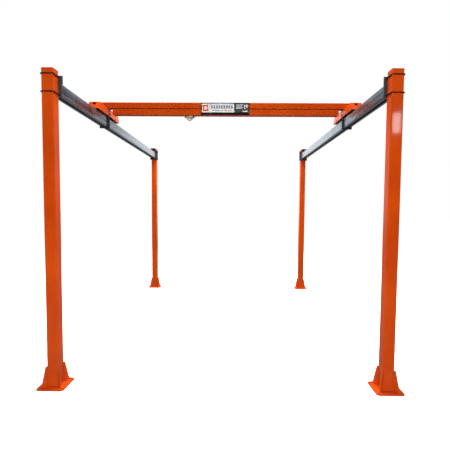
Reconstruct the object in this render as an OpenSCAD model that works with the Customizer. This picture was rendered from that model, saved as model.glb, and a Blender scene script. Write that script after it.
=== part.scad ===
// Free-standing bridge crane for a workshop: four floor-fixed posts carry two runway tracks, a
// bridge rolls along them on two end trucks, and a small trolley rolls inside the bridge.
// Front is -Y, the runways lie along Y, the bridge lies along X, and the floor is z = 0.

/* [Frame] */
// Distance between the post centres across the runways
span = 2921; // [2000:1:4500]
// Distance between the post centres along the runways
bay = 4064; // [2500:1:6500]
// Height of the post tops above the floor
frame_height = 2743; // [2200:1:3600]
// Outside width of the square post tube
post_size = 101.6; // [90:0.1:115]
// Wall of the post tube
post_wall = 4.8; // [3:0.1:8]
// Outside corner radius of the post tube
post_radius = 10; // [9:0.5:14]

/* [Post caps] */
// Thickness of the cap on a post
cap_thickness = 6; // [3:0.5:12]
// How far a cap reaches past the tube
cap_lip = 1.2; // [0.5:0.1:3]
// Depth of the plug below a cap
cap_plug = 14; // [6:1:30]

/* [Base plates] */
// Side of the square base plate
plate_size = 241.3; // [230:0.1:300]
// Thickness of the base plate
plate_thickness = 12.7; // [8:0.1:20]
// Length cut off each plate corner
plate_clip = 18; // [5:1:22]
// Distance between anchor holes
anchor_spacing = 190; // [185:1:200]
// Diameter of an anchor hole
anchor_hole = 18; // [12:0.5:22]
// Height of the corner gussets
gusset_height = 176; // [100:1:260]
// Thickness of a gusset
gusset_thickness = 8; // [5:0.5:12]
// Width of a gusset at its top
gusset_top = 15; // [8:1:24]
// Height of a gusset's outer toe
gusset_toe = 10; // [5:1:20]
// Metal left between a gusset and an anchor hole
gusset_to_hole = 7; // [4:1:12]

/* [Runways] */
// Height of a runway track
runway_h = 110; // [80:1:140]
// Width of a runway track
runway_w = 86; // [70:1:90]
// Wall of a runway track
runway_wall = 4; // [3:0.5:6]
// Outside corner radius of a runway track
runway_radius = 7; // [6.5:0.5:10]
// Width of the slot below a runway track
runway_slot = 28; // [20:1:40]
// Drop from the post tops to the runway tops
runway_drop = 79; // [60:1:200]

/* [Runway brackets] */
// Width of a bracket plate
bracket_w = 150; // [145:1:170]
// Height of a bracket plate
bracket_h = 180; // [160:1:240]
// Thickness of a bracket
bracket_t = 8; // [6:0.5:12]
// Length of the seat below the runway end
seat_length = 76; // [60:1:110]
// Diameter of the U-bolt bar
u_bar = 10; // [8:0.5:12]
// Distance of each U-bolt from the bracket's top or bottom edge
u_inset = 16; // [12:1:30]
// Length of U-bolt thread past its nut
u_tail = 7; // [2:1:15]

/* [Runway end stops] */
// Distance from the bracket to the face of a stop
stop_reach = 86; // [70:1:140]
// Height of a stop above the runway
stop_height = 76; // [50:1:90]
// Thickness of a stop
stop_t = 8; // [6:0.5:12]

/* [Bridge] */
// Distance of the bridge from the middle of the bay
bridge_offset = 732; // [0:1:900]
// Width of the beam and of its track
beam_w = 80; // [72:1:90]
// Height of the beam, and of the track below it
beam_h = 74; // [70:1:90]
// Wall of the beam and track
beam_wall = 4; // [3:0.5:5]
// Outside corner radius of the beam and track
beam_radius = 8; // [6:0.5:10]
// How far the beam reaches past each runway centre line
beam_overhang = 44.5; // [40:0.5:100]
// Distance from each runway centre line to the end of the lower track
track_setback = 110; // [80:1:200]
// Width of the slot below the lower track
track_slot = 24; // [20:1:28]

/* [End trucks] */
// Width of an end truck
truck_w = 124; // [120:1:130]
// Height of an end truck
truck_h = 86; // [80:1:100]
// Length of an end truck along its top
truck_top_length = 616; // [560:1:800]
// Length of an end truck along its bottom
truck_bottom_length = 730; // [680:1:900]
// Plate thickness of an end truck
truck_wall = 6; // [4:0.5:8]
// Gap from the runway top to the end truck
truck_gap = 16; // [6:1:25]
// Distance between the two axles of an end truck
wheel_base = 460; // [400:1:500]
// Diameter of a truck wheel
wheel_d = 80; // [70:1:84]
// Width of a truck wheel
wheel_w = 38; // [25:1:50]
// Diameter of a truck axle
axle_d = 20; // [12:1:25]
// Width of the opening in each end of a truck
end_opening_w = 37; // [20:1:60]
// Height of that opening
end_opening_h = 30; // [15:1:40]

/* [Retainers] */
// Width of the strap below the runway
strap_w = 40; // [30:1:60]
// Thickness of the strap
strap_t = 9; // [6:0.5:10]
// Gap between the strap and the underside of the runway
strap_gap = 3; // [1:0.5:8]
// Height of the strap's legs inside the truck
strap_grip = 42; // [36:1:60]

/* [Bridge angles] */
// Leg length of an angle that holds the beam on a truck
angle_leg = 60; // [50:1:70]
// Thickness of an angle
angle_t = 6; // [4:0.5:8]
// Length of an angle
angle_length = 62; // [55:1:90]

/* [Trolley] */
// Distance of the trolley from the middle of the bridge, to the left
trolley_offset = 430; // [0:1:700]
// Distance between the trolley axles
trolley_base = 90; // [80:1:120]
// Diameter of a trolley wheel
trolley_wheel_d = 40; // [32:1:42]
// Width of a trolley wheel
trolley_wheel_w = 16; // [10:0.5:17]
// Diameter of a trolley axle
trolley_axle_d = 10; // [8:0.5:12]
// Thickness of the plate that hangs through the slot
hanger_t = 12; // [8:0.5:14]
// Thickness of a load plate
load_t = 5; // [3:0.5:6]
// Width of the load plates at their top
load_w = 140; // [130:1:170]
// Depth from the load plates' top to the load hole
load_depth = 36; // [30:1:60]
// Diameter of the load hole
load_hole = 16; // [10:0.5:20]

/* [Sign] */
// Width of the sign plate
sign_w = 576; // [300:1:900]
// Thickness of the sign plate
sign_t = 3; // [1.5:0.5:5]
// Distance from the sign's edges to the beam's and track's edges
sign_edge = 3; // [0:0.5:8]

/* [Clearances] */
// Gap between a rolling wheel and what it rolls on
roll_gap = 0.3; // [0.2:0.05:0.5]
// Radial clearance of a wheel on its axle
run_fit = 0.05; // [0.02:0.01:0.1]
// Radial clearance of a fastener in its hole
bolt_fit = 0.3; // [0.1:0.05:0.6]
// Radial clearance of a nut on its thread
nut_fit = 0.1; // [0.02:0.01:0.2]
// Gap beside a moving wheel
side_gap = 0.3; // [0.2:0.05:0.5]
// Gap between the load plates and the track above them
load_gap = 4; // [2:0.5:10]

/* [Hidden] */
$fn = 48;

paint = [0.80, 0.25, 0.04];
zinc = [0.62, 0.65, 0.69];
dark_steel = [0.25, 0.26, 0.28];
black = [0.06, 0.06, 0.07];
beige = [0.72, 0.66, 0.52];

half_post = post_size / 2;
left = -1;
right = 1;
front = -1;
rear = 1;

runway_top = frame_height - runway_drop;
runway_bottom = runway_top - runway_h;
bracket_middle = (runway_top + runway_bottom) / 2 + 12;
bracket_face = half_post + bracket_t;
u_line = half_post + u_bar / 2;
u_rise = bracket_h / 2 - u_inset;
u_nut = [17, 9];
u_washer = [21, 2];
seat_bolt = 12;
seat_bolt_y = bracket_face + seat_length - 20;
seat_nut_t = 9;
stop_bolt = 10;
stop_bolt_y = bracket_face + 36;
stop_bolt_x = 20;

truck_bottom = runway_top + truck_gap;
truck_top = truck_bottom + truck_h;
axle_z = runway_top + wheel_d / 2;
wheel_r = wheel_d / 2 - roll_gap;
axle_head = [14, 4];

bridge_y = -bridge_offset;
beam_middle = truck_top + beam_h / 2;
track_bottom = truck_top - beam_h;
track_middle = truck_top - beam_h / 2;
beam_half = span / 2 + beam_overhang;
track_half = span / 2 - track_setback;
end_cap_t = 3;
stop_block = 40;
through_bolt = 12;
through_bolt_x = 17;
angle_bolt_y = beam_w / 2 + angle_leg - 24;
strap_inner = truck_w / 2 - truck_wall - strap_t;
strap_bolt = 8;
strap_bolt_y = 10;
strap_bolt_z = truck_bottom + strap_grip / 2 + 2;

trolley_axle_z = track_bottom + beam_wall + trolley_wheel_d / 2;
trolley_wheel_r = trolley_wheel_d / 2 - roll_gap;
trolley_wheel_y = (track_slot / 2 + beam_w / 2 - beam_wall) / 2;
trolley_head = [7, 1.5];
hanger_half = trolley_base / 2 + trolley_wheel_d / 2 - 2;
load_top = track_bottom - load_gap;
load_hole_z = load_top - load_depth;
load_tip = 16;
load_bolt = 10;
load_bolt_x = 45;
load_bolt_z = load_top - 11;
rivet = 5;

// Places a child at one corner of the frame, with +Y pointing along the runway.
module corner(side, end) {
    mirror([0, end == rear ? 1 : 0, 0])
        translate([side * span / 2, -bay / 2, 0]) children();
}

module each_corner() {
    for (side = [left, right], end = [front, rear]) corner(side, end) children();
}

// Places a child over a runway, at the bridge.
module at_truck(side) {
    translate([side * span / 2, bridge_y, 0]) children();
}

module at_trolley() {
    translate([-trolley_offset, bridge_y, 0]) children();
}

// Outline with true round corners.
module round_rect(w, h, r) {
    square([w - 2 * r, h], center = true);
    square([w, h - 2 * r], center = true);
    for (x = [-1, 1], y = [-1, 1])
        translate([x * (w / 2 - r), y * (h / 2 - r)]) circle(r);
}

// Cross-section of a track: a hollow box with a slot along its underside.
module track_outline(w, h, wall, r, slot) {
    difference() {
        round_rect(w, h, r);
        round_rect(w - 2 * wall, h - 2 * wall, r - wall);
        translate([-slot / 2, -h / 2 - 1]) square([slot, wall + 2]);
    }
}

module along_x(length) {
    rotate([90, 0, 90]) linear_extrude(length, center = true) children();
}

module along_y(length) {
    rotate([90, 0, 0]) linear_extrude(length, center = true) children();
}

// A rod along X, Y or Z that starts at the origin.
module rod_x(d, length) {
    rotate([0, 90, 0]) cylinder(d = d, h = length);
}

module rod_y(d, length) {
    rotate([-90, 0, 0]) cylinder(d = d, h = length);
}

// Hexagon of the given width across its flats.
module hex_prism(flats, height) {
    cylinder(d = flats / cos(30), h = height, $fn = 6);
}

// Bolt along -Z with its head above z = 0.
module hex_bolt(d, length) {
    hex_prism(1.6 * d, 0.65 * d);
    translate([0, 0, -length]) cylinder(d = d, h = length + 0.5);
}

// Nut above z = 0.
module hex_nut(d, height) {
    difference() {
        hex_prism(1.6 * d, height);
        translate([0, 0, -1]) cylinder(d = d + 2 * nut_fit, h = height + 2);
    }
}

// ---- Posts ----

module post_outline(grow = 0) {
    round_rect(post_size + 2 * grow, post_size + 2 * grow, post_radius + grow);
}

module column() {
    color(paint)
        translate([0, 0, plate_thickness])
            linear_extrude(frame_height - cap_thickness - plate_thickness)
                difference() {
                    post_outline();
                    post_outline(-post_wall);
                }
}

module column_caps() {
    color(paint)
        each_corner()
            translate([0, 0, frame_height - cap_thickness]) {
                linear_extrude(cap_thickness) post_outline(cap_lip);
                translate([0, 0, -cap_plug])
                    linear_extrude(cap_plug + 1) post_outline(-post_wall - side_gap);
            }
}

// ---- Feet ----

module base_plate() {
    edge = plate_size / 2;
    clip = edge - plate_clip;
    color(paint)
        difference() {
            linear_extrude(plate_thickness)
                polygon([
                    [edge, -clip], [edge, clip], [clip, edge], [-clip, edge],
                    [-edge, clip], [-edge, -clip], [-clip, -edge], [clip, -edge],
                ]);
            for (x = [-1, 1], y = [-1, 1])
                translate([x * anchor_spacing / 2, y * anchor_spacing / 2, -1])
                    cylinder(d = anchor_hole, h = plate_thickness + 2);
        }
}

module gussets() {
    corner_reach = half_post * sqrt(2) - post_radius * (sqrt(2) - 1);
    end_reach = anchor_spacing / sqrt(2) - anchor_hole / 2 - gusset_to_hole;
    color(paint)
        translate([0, 0, plate_thickness])
            difference() {
                for (turn = [45:90:315])
                    rotate(turn)
                        along_y(gusset_thickness)
                            polygon([
                                [half_post, 0], [end_reach, 0], [end_reach, gusset_toe],
                                [corner_reach + gusset_top, gusset_height],
                                [half_post, gusset_height],
                            ]);
                translate([0, 0, -1]) linear_extrude(gusset_height + 2) post_outline();
            }
}

// ---- Runway brackets and U-bolts ----

module bracket() {
    color(dark_steel)
        difference() {
            union() {
                translate([-bracket_w / 2, half_post, bracket_middle - bracket_h / 2])
                    cube([bracket_w, bracket_t, bracket_h]);
                translate([-runway_w / 2, bracket_face - 1, runway_bottom - bracket_t])
                    cube([runway_w, seat_length + 1, bracket_t]);
            }
            for (x = [-1, 1], z = [-1, 1])
                translate([x * u_line, half_post - 1, bracket_middle + z * u_rise])
                    rod_y(u_bar + 2 * bolt_fit, bracket_t + 2);
            translate([0, seat_bolt_y, runway_bottom - bracket_t - 1])
                cylinder(d = seat_bolt + 2 * bolt_fit, h = bracket_t + 2);
        }
}

// A square U that hugs the post, with its legs through the bracket.
module u_bolt() {
    bend = post_radius + u_bar / 2;
    bend_centre = half_post - post_radius;
    leg_end = bracket_face + u_washer[1] + u_nut[1] + u_tail;
    for (x = [-1, 1]) {
        translate([x * u_line, -bend_centre, 0]) rod_y(u_bar, leg_end + bend_centre);
        translate([x * bend_centre, -bend_centre, 0])
            rotate(x > 0 ? -90 : 180)
                rotate_extrude(angle = 90) translate([bend, 0]) circle(d = u_bar);
    }
    translate([-bend_centre, -u_line, 0]) rod_x(u_bar, 2 * bend_centre);
}

module u_bolts() {
    color(black)
        for (z = [-1, 1]) translate([0, 0, bracket_middle + z * u_rise]) u_bolt();
}

module each_u_leg() {
    each_corner()
        for (x = [-1, 1], z = [-1, 1])
            translate([x * u_line, bracket_face, bracket_middle + z * u_rise])
                rotate([-90, 0, 0]) children();
}

module u_bolt_washers() {
    color(black)
        each_u_leg()
            difference() {
                cylinder(d = u_washer[0], h = u_washer[1]);
                translate([0, 0, -1]) cylinder(d = u_bar + 2 * bolt_fit, h = u_washer[1] + 2);
            }
}

module u_bolt_nuts() {
    color(black)
        each_u_leg()
            translate([0, 0, u_washer[1]])
                difference() {
                    hex_prism(u_nut[0], u_nut[1]);
                    translate([0, 0, -1]) cylinder(d = u_bar + 2 * nut_fit, h = u_nut[1] + 2);
                }
}

// ---- Runways ----

module runway(side) {
    color(zinc)
        translate([side * span / 2, 0, 0])
            difference() {
                translate([0, 0, (runway_top + runway_bottom) / 2])
                    along_y(bay - 2 * bracket_face)
                        track_outline(runway_w, runway_h, runway_wall, runway_radius, runway_slot);
                for (x = [-1, 1], end = [front, rear])
                    translate([x * stop_bolt_x, end * (bay / 2 - stop_bolt_y), runway_top - runway_wall - 1])
                        cylinder(d = stop_bolt + 2 * bolt_fit, h = runway_wall + 2);
            }
}

module seat_bolts() {
    color(black)
        each_corner()
            translate([0, seat_bolt_y, runway_bottom - bracket_t])
                mirror([0, 0, 1]) hex_bolt(seat_bolt, bracket_t + runway_wall + seat_nut_t + 3);
}

// Plates inside the runway that the seat bolts screw into, across the slot.
module seat_nut_plates() {
    width = runway_w - 2 * runway_radius;
    color(zinc)
        each_corner()
            difference() {
                translate([-width / 2, seat_bolt_y - 18, runway_bottom + runway_wall])
                    cube([width, 36, seat_nut_t]);
                translate([0, seat_bolt_y, runway_bottom])
                    cylinder(d = seat_bolt + 2 * nut_fit, h = 2 * runway_wall + seat_nut_t);
            }
}

module end_stops() {
    color(black)
        each_corner()
            difference() {
                union() {
                    translate([-runway_w / 2, bracket_face, runway_top])
                        cube([runway_w, stop_reach, stop_t]);
                    translate([-runway_w / 2, bracket_face + stop_reach - stop_t, runway_top])
                        cube([runway_w, stop_t, stop_height]);
                }
                for (x = [-1, 1])
                    translate([x * stop_bolt_x, stop_bolt_y, runway_top - 1])
                        cylinder(d = stop_bolt + 2 * bolt_fit, h = stop_t + 2);
            }
}

module end_stop_bolts() {
    nut_h = 8;
    color(black)
        each_corner()
            for (x = [-1, 1])
                translate([x * stop_bolt_x, stop_bolt_y, runway_top]) {
                    translate([0, 0, stop_t])
                        hex_bolt(stop_bolt, stop_t + runway_wall + nut_h + 3);
                    translate([0, 0, -runway_wall - nut_h]) hex_nut(stop_bolt, nut_h);
                }
}

// ---- Bridge ----

module bridge_beam() {
    color(paint)
        difference() {
            translate([0, bridge_y, beam_middle])
                along_x(2 * beam_half)
                    difference() {
                        round_rect(beam_w, beam_h, beam_radius);
                        round_rect(beam_w - 2 * beam_wall, beam_h - 2 * beam_wall, beam_radius - beam_wall);
                    }
            for (side = [left, right], x = [-1, 1])
                at_truck(side)
                    translate([x * through_bolt_x, -beam_w, beam_middle])
                        rod_y(through_bolt + 2 * bolt_fit, 2 * beam_w);
            rivet_holes(beam_middle);
        }
}

module bridge_track() {
    color(paint)
        difference() {
            translate([0, bridge_y, track_middle])
                along_x(2 * track_half)
                    track_outline(beam_w, beam_h, beam_wall, beam_radius, track_slot);
            rivet_holes(track_middle);
        }
}

module rivet_holes(z) {
    for (x = [-1, 1])
        translate([x * (sign_w / 2 - 10), bridge_y - beam_w, z])
            rod_y(rivet + 2 * nut_fit, beam_w);
}

module beam_end_caps() {
    plug = 12;
    color(paint)
        for (side = [left, right])
            translate([side * (beam_half + end_cap_t / 2), bridge_y, beam_middle]) {
                along_x(end_cap_t) round_rect(beam_w, beam_h, beam_radius);
                translate([-side * plug / 2, 0, 0])
                    along_x(plug)
                        round_rect(
                            beam_w - 2 * beam_wall - 2 * side_gap,
                            beam_h - 2 * beam_wall - 2 * side_gap,
                            beam_radius - beam_wall - side_gap
                        );
            }
}

// Rubber blocks that close the lower track and stop the trolley.
module trolley_stops() {
    color(black)
        for (side = [left, right])
            translate([side * (track_half - stop_block / 2 - 10), bridge_y, track_middle])
                along_x(stop_block)
                    round_rect(beam_w - 2 * beam_wall, beam_h - 2 * beam_wall, beam_radius - beam_wall);
}

// ---- End trucks ----

// Half the length of a truck at height z.
function truck_half(z) =
    truck_top_length / 2
    + (truck_bottom_length - truck_top_length) / 2 * (truck_top - z) / truck_h;

module truck_side(low, high, inset) {
    polygon([
        [-truck_half(low) + inset, low], [truck_half(low) - inset, low],
        [truck_half(high) - inset, high], [-truck_half(high) + inset, high],
    ]);
}

module end_truck(side) {
    slope = (truck_bottom_length - truck_top_length) / 2 / truck_h;
    end_wall = truck_wall * sqrt(1 + slope * slope);
    inner_top = truck_top - truck_wall;
    color(paint)
        at_truck(side)
            difference() {
                along_x(truck_w) truck_side(truck_bottom, truck_top, 0);
                along_x(truck_w - 2 * truck_wall) truck_side(truck_bottom - 1, inner_top, end_wall);
                translate([-end_opening_w / 2, -truck_bottom_length / 2, inner_top - end_opening_h])
                    cube([end_opening_w, truck_bottom_length, end_opening_h]);
                for (y = [-1, 1]) {
                    translate([-truck_w / 2 - 1, y * wheel_base / 2, axle_z])
                        rod_x(axle_d + 2 * nut_fit, truck_w + 2);
                    translate([-truck_w / 2 - 1, y * strap_bolt_y, strap_bolt_z])
                        rod_x(strap_bolt + 2 * bolt_fit, truck_w + 2);
                    for (x = [-1, 1])
                        translate([x * through_bolt_x, y * angle_bolt_y, inner_top - 1])
                            cylinder(d = through_bolt + 2 * bolt_fit, h = truck_wall + 2);
                }
            }
}

module each_axle() {
    for (side = [left, right], y = [-1, 1])
        at_truck(side) translate([0, y * wheel_base / 2, axle_z]) children();
}

module truck_axles() {
    color(zinc)
        each_axle() {
            translate([-truck_w / 2, 0, 0]) rod_x(axle_d, truck_w);
            for (x = [-1, 1])
                translate([x * (truck_w / 2 + axle_head[1] / 2) - axle_head[1] / 2, 0, 0])
                    rod_x(2 * axle_head[0], axle_head[1]);
        }
}

module wheel_spacers() {
    length = truck_w / 2 - truck_wall - wheel_w / 2 - side_gap;
    color(zinc)
        each_axle()
            for (x = [-1, 1])
                translate([x * (wheel_w / 2 + side_gap + length / 2) - length / 2, 0, 0])
                    difference() {
                        rod_x(axle_d + 10, length);
                        translate([-1, 0, 0]) rod_x(axle_d + 2 * nut_fit, length + 2);
                    }
}

// Wheel with a flat tread, rounded edges and a dished side, turned about X.
module wheel_x(r, w, bore_r) {
    edge = 3;
    dish = w / 6;
    hub = bore_r + 6;
    rotate([0, 90, 0])
        rotate_extrude($fn = 96)
            polygon([
                [bore_r, -w / 2], [hub, -w / 2], [hub + 2, -w / 2 + dish], [r - 10, -w / 2 + dish],
                [r - 8, -w / 2], [r - edge, -w / 2], [r, -w / 2 + edge],
                [r, w / 2 - edge], [r - edge, w / 2], [r - 8, w / 2],
                [r - 10, w / 2 - dish], [hub + 2, w / 2 - dish], [hub, w / 2], [bore_r, w / 2],
            ]);
}

module truck_wheel(side, end) {
    color(black)
        at_truck(side)
            translate([0, end * wheel_base / 2, axle_z])
                wheel_x(wheel_r, wheel_w, axle_d / 2 + run_fit);
}

// U-shaped strap that passes below the runway and holds the truck down.
module retainer(side) {
    low = runway_bottom - strap_gap - strap_t;
    high = truck_bottom + strap_grip;
    color(black)
        at_truck(side)
            difference() {
                translate([0, 0, low])
                    along_y(strap_w)
                        difference() {
                            translate([-strap_inner - strap_t, 0])
                                square([2 * (strap_inner + strap_t), high - low]);
                            translate([-strap_inner, strap_t])
                                square([2 * strap_inner, high - low]);
                        }
                for (y = [-1, 1])
                    translate([-truck_w, y * strap_bolt_y, strap_bolt_z])
                        rod_x(strap_bolt + 2 * bolt_fit, 2 * truck_w);
            }
}

module each_strap_bolt() {
    for (side = [left, right], x = [-1, 1], y = [-1, 1])
        at_truck(side)
            translate([x * truck_w / 2, y * strap_bolt_y, strap_bolt_z])
                rotate([0, x * 90, 0]) children();
}

module retainer_bolts() {
    color(black) each_strap_bolt() hex_bolt(strap_bolt, truck_wall + strap_t + 9);
}

module retainer_nuts() {
    nut_h = 6.5;
    color(black)
        each_strap_bolt()
            translate([0, 0, -truck_wall - strap_t - nut_h]) hex_nut(strap_bolt, nut_h);
}

// ---- Angles that hold the beam on the trucks ----

module bridge_angles(side) {
    color(paint)
        at_truck(side)
            for (end = [front, rear])
                mirror([0, end == front ? 1 : 0, 0])
                    translate([0, beam_w / 2, truck_top])
                        difference() {
                            translate([-angle_length / 2, 0, 0]) {
                                cube([angle_length, angle_leg, angle_t]);
                                cube([angle_length, angle_t, angle_leg]);
                            }
                            for (x = [-1, 1]) {
                                translate([x * through_bolt_x, angle_bolt_y - beam_w / 2, -1])
                                    cylinder(d = through_bolt + 2 * bolt_fit, h = angle_t + 2);
                                translate([x * through_bolt_x, -1, beam_h / 2])
                                    rod_y(through_bolt + 2 * bolt_fit, angle_t + 2);
                            }
                        }
}

// Bolts down into each truck, and bolts right through the beam.
module angle_bolts() {
    nut_h = 10;
    color(zinc)
        for (side = [left, right], x = [-1, 1])
            at_truck(side) translate([x * through_bolt_x, 0, 0]) {
                for (y = [-1, 1])
                    translate([0, y * angle_bolt_y, truck_top + angle_t])
                        hex_bolt(through_bolt, angle_t + truck_wall + nut_h + 3);
                translate([0, -beam_w / 2 - angle_t, beam_middle])
                    rotate([90, 0, 0])
                        hex_bolt(through_bolt, beam_w + 2 * angle_t + nut_h + 3);
            }
}

module angle_nuts() {
    nut_h = 10;
    color(zinc)
        for (side = [left, right], x = [-1, 1])
            at_truck(side) translate([x * through_bolt_x, 0, 0]) {
                for (y = [-1, 1])
                    translate([0, y * angle_bolt_y, truck_top - truck_wall - nut_h])
                        hex_nut(through_bolt, nut_h);
                translate([0, beam_w / 2 + angle_t, beam_middle])
                    rotate([-90, 0, 0]) hex_nut(through_bolt, nut_h);
            }
}

// ---- Sign ----

module sign_plate() {
    height = 2 * beam_h - 2 * sign_edge;
    color(black)
        difference() {
            translate([-sign_w / 2, bridge_y - beam_w / 2 - sign_t, truck_top - height / 2])
                cube([sign_w, sign_t, height]);
            rivet_holes(beam_middle);
            rivet_holes(track_middle);
        }
}

module sign_rivets() {
    color(zinc)
        for (x = [-1, 1], z = [beam_middle, track_middle])
            translate([x * (sign_w / 2 - 10), bridge_y - beam_w / 2 - sign_t, z]) {
                translate([0, -1.5, 0]) rod_y(2 * rivet, 1.5);
                translate([0, -0.5, 0]) rod_y(rivet, sign_t + beam_wall + 2.5);
            }
}

// ---- Trolley ----

// Inverted triangle with a blunt tip below the load hole.
module load_outline(inset) {
    half = load_w / 2 - inset;
    tip = load_tip - inset / 2;
    low = load_hole_z - load_tip + inset / 2;
    polygon([
        [-half, load_top], [half, load_top], [half, load_top - 7],
        [tip, low + 4], [tip - 4, low], [4 - tip, low], [-tip, low + 4], [-half, load_top - 7],
    ]);
}

module load_holes() {
    at_trolley() {
        translate([0, -beam_w, load_hole_z]) rod_y(load_hole, 2 * beam_w);
        for (x = [-1, 1])
            translate([x * load_bolt_x, -beam_w, load_bolt_z])
                rod_y(load_bolt + 2 * bolt_fit, 2 * beam_w);
    }
}

// Plate that hangs through the slot, with bosses that space the wheels.
module trolley_hanger() {
    boss_end = trolley_wheel_y - trolley_wheel_w / 2 - side_gap;
    color(beige)
        difference() {
            at_trolley() {
                along_y(hanger_t)
                    load_outline(8);
                translate([-hanger_half + 6, -hanger_t / 2, load_top - 1])
                    cube([2 * hanger_half - 12, hanger_t, trolley_axle_z - load_top]);
                translate([-hanger_half, -hanger_t / 2, track_bottom + beam_wall + 4])
                    cube([2 * hanger_half, hanger_t, trolley_wheel_d - 8]);
                for (x = [-1, 1])
                    translate([x * trolley_base / 2, -boss_end, trolley_axle_z])
                        rod_y(trolley_axle_d + 8, 2 * boss_end);
            }
            load_holes();
            for (x = [-1, 1])
                at_trolley()
                    translate([x * trolley_base / 2, -beam_w, trolley_axle_z])
                        rod_y(trolley_axle_d + 2 * nut_fit, 2 * beam_w);
        }
}

module trolley_axles() {
    outer = trolley_wheel_y + trolley_wheel_w / 2 + side_gap;
    color(zinc)
        at_trolley()
            for (x = [-1, 1])
                translate([x * trolley_base / 2, 0, trolley_axle_z]) {
                    translate([0, -outer, 0]) rod_y(trolley_axle_d, 2 * outer);
                    for (y = [-outer - trolley_head[1], outer])
                        translate([0, y, 0]) rod_y(2 * trolley_head[0], trolley_head[1]);
                }
}

module load_plate(end) {
    color(beige)
        difference() {
            at_trolley()
                translate([0, end * (hanger_t + load_t) / 2, 0])
                    along_y(load_t) load_outline(0);
            load_holes();
        }
}

module trolley_bolts() {
    nut_h = 8;
    grip = hanger_t + 2 * load_t;
    color(black)
        at_trolley()
            for (x = [-1, 1])
                translate([x * load_bolt_x, -grip / 2, load_bolt_z])
                    rotate([90, 0, 0]) {
                        hex_bolt(load_bolt, grip + nut_h + 2);
                        translate([0, 0, -grip - nut_h]) hex_nut(load_bolt, nut_h);
                    }
}

module trolley_wheel(side, end) {
    color(dark_steel)
        at_trolley()
            translate([side * trolley_base / 2, end * trolley_wheel_y, trolley_axle_z])
                rotate(90)
                    rotate([0, 90, 0])
                        difference() {
                            cylinder(r = trolley_wheel_r, h = trolley_wheel_w, center = true, $fn = 96);
                            cylinder(
                                r = trolley_axle_d / 2 + run_fit,
                                h = trolley_wheel_w + 2,
                                center = true
                            );
                        }
}

corner(left, front) column();  // column_front_left
corner(right, front) column();  // column_front_right
corner(left, rear) column();  // column_rear_left
corner(right, rear) column();  // column_rear_right
column_caps();
corner(left, front) base_plate();  // base_plate_front_left
corner(right, front) base_plate();  // base_plate_front_right
corner(left, rear) base_plate();  // base_plate_rear_left
corner(right, rear) base_plate();  // base_plate_rear_right
corner(left, front) gussets();  // gussets_front_left
corner(right, front) gussets();  // gussets_front_right
corner(left, rear) gussets();  // gussets_rear_left
corner(right, rear) gussets();  // gussets_rear_right
corner(left, front) bracket();  // bracket_front_left
corner(right, front) bracket();  // bracket_front_right
corner(left, rear) bracket();  // bracket_rear_left
corner(right, rear) bracket();  // bracket_rear_right
corner(left, front) u_bolts();  // u_bolts_front_left
corner(right, front) u_bolts();  // u_bolts_front_right
corner(left, rear) u_bolts();  // u_bolts_rear_left
corner(right, rear) u_bolts();  // u_bolts_rear_right
u_bolt_washers();
u_bolt_nuts();
runway(left);  // runway_left
runway(right);  // runway_right
seat_bolts();
seat_nut_plates();
end_stops();
end_stop_bolts();
bridge_beam();
bridge_track();
beam_end_caps();
trolley_stops();
end_truck(left);  // end_truck_left
end_truck(right);  // end_truck_right
truck_axles();
wheel_spacers();
retainer(left);  // retainer_left
retainer(right);  // retainer_right
retainer_bolts();
retainer_nuts();
bridge_angles(left);  // bridge_angles_left
bridge_angles(right);  // bridge_angles_right
angle_bolts();
angle_nuts();
sign_plate();
sign_rivets();
truck_wheel(left, front);  // truck_wheel_left_front
truck_wheel(left, rear);  // truck_wheel_left_rear
truck_wheel(right, front);  // truck_wheel_right_front
truck_wheel(right, rear);  // truck_wheel_right_rear
trolley_hanger();
trolley_axles();
load_plate(front);  // load_plate_front
load_plate(rear);  // load_plate_rear
trolley_bolts();
trolley_wheel(left, front);  // trolley_wheel_left_front
trolley_wheel(left, rear);  // trolley_wheel_left_rear
trolley_wheel(right, front);  // trolley_wheel_right_front
trolley_wheel(right, rear);  // trolley_wheel_right_rear
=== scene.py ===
"""Overhead workstation bridge crane: its finishes and fine shapes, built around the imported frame."""

import math
from functools import partial

import bmesh
import bpy
from bpy.props import FloatProperty, FloatVectorProperty, IntProperty, PointerProperty
from mathutils import Matrix, Vector


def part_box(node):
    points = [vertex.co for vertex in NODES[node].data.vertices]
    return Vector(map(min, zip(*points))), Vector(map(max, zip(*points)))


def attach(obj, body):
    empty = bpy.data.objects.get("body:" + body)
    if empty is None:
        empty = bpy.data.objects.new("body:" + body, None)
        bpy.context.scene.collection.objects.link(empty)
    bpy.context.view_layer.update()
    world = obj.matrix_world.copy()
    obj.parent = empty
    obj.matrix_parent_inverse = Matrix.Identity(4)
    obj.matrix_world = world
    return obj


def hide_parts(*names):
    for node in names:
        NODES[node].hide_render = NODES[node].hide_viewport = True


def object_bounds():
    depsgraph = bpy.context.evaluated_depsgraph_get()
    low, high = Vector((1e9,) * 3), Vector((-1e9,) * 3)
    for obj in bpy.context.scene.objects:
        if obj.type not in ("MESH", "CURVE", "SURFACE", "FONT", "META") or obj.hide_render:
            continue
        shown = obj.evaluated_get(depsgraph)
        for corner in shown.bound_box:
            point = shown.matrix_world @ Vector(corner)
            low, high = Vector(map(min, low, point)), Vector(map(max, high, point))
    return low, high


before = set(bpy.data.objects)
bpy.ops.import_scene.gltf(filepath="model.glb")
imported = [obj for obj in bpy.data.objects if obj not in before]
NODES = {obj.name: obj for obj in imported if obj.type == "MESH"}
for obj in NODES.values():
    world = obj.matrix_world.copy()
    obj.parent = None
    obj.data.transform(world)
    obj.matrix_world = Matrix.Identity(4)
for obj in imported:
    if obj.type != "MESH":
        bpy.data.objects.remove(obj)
CAD_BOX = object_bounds()

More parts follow.
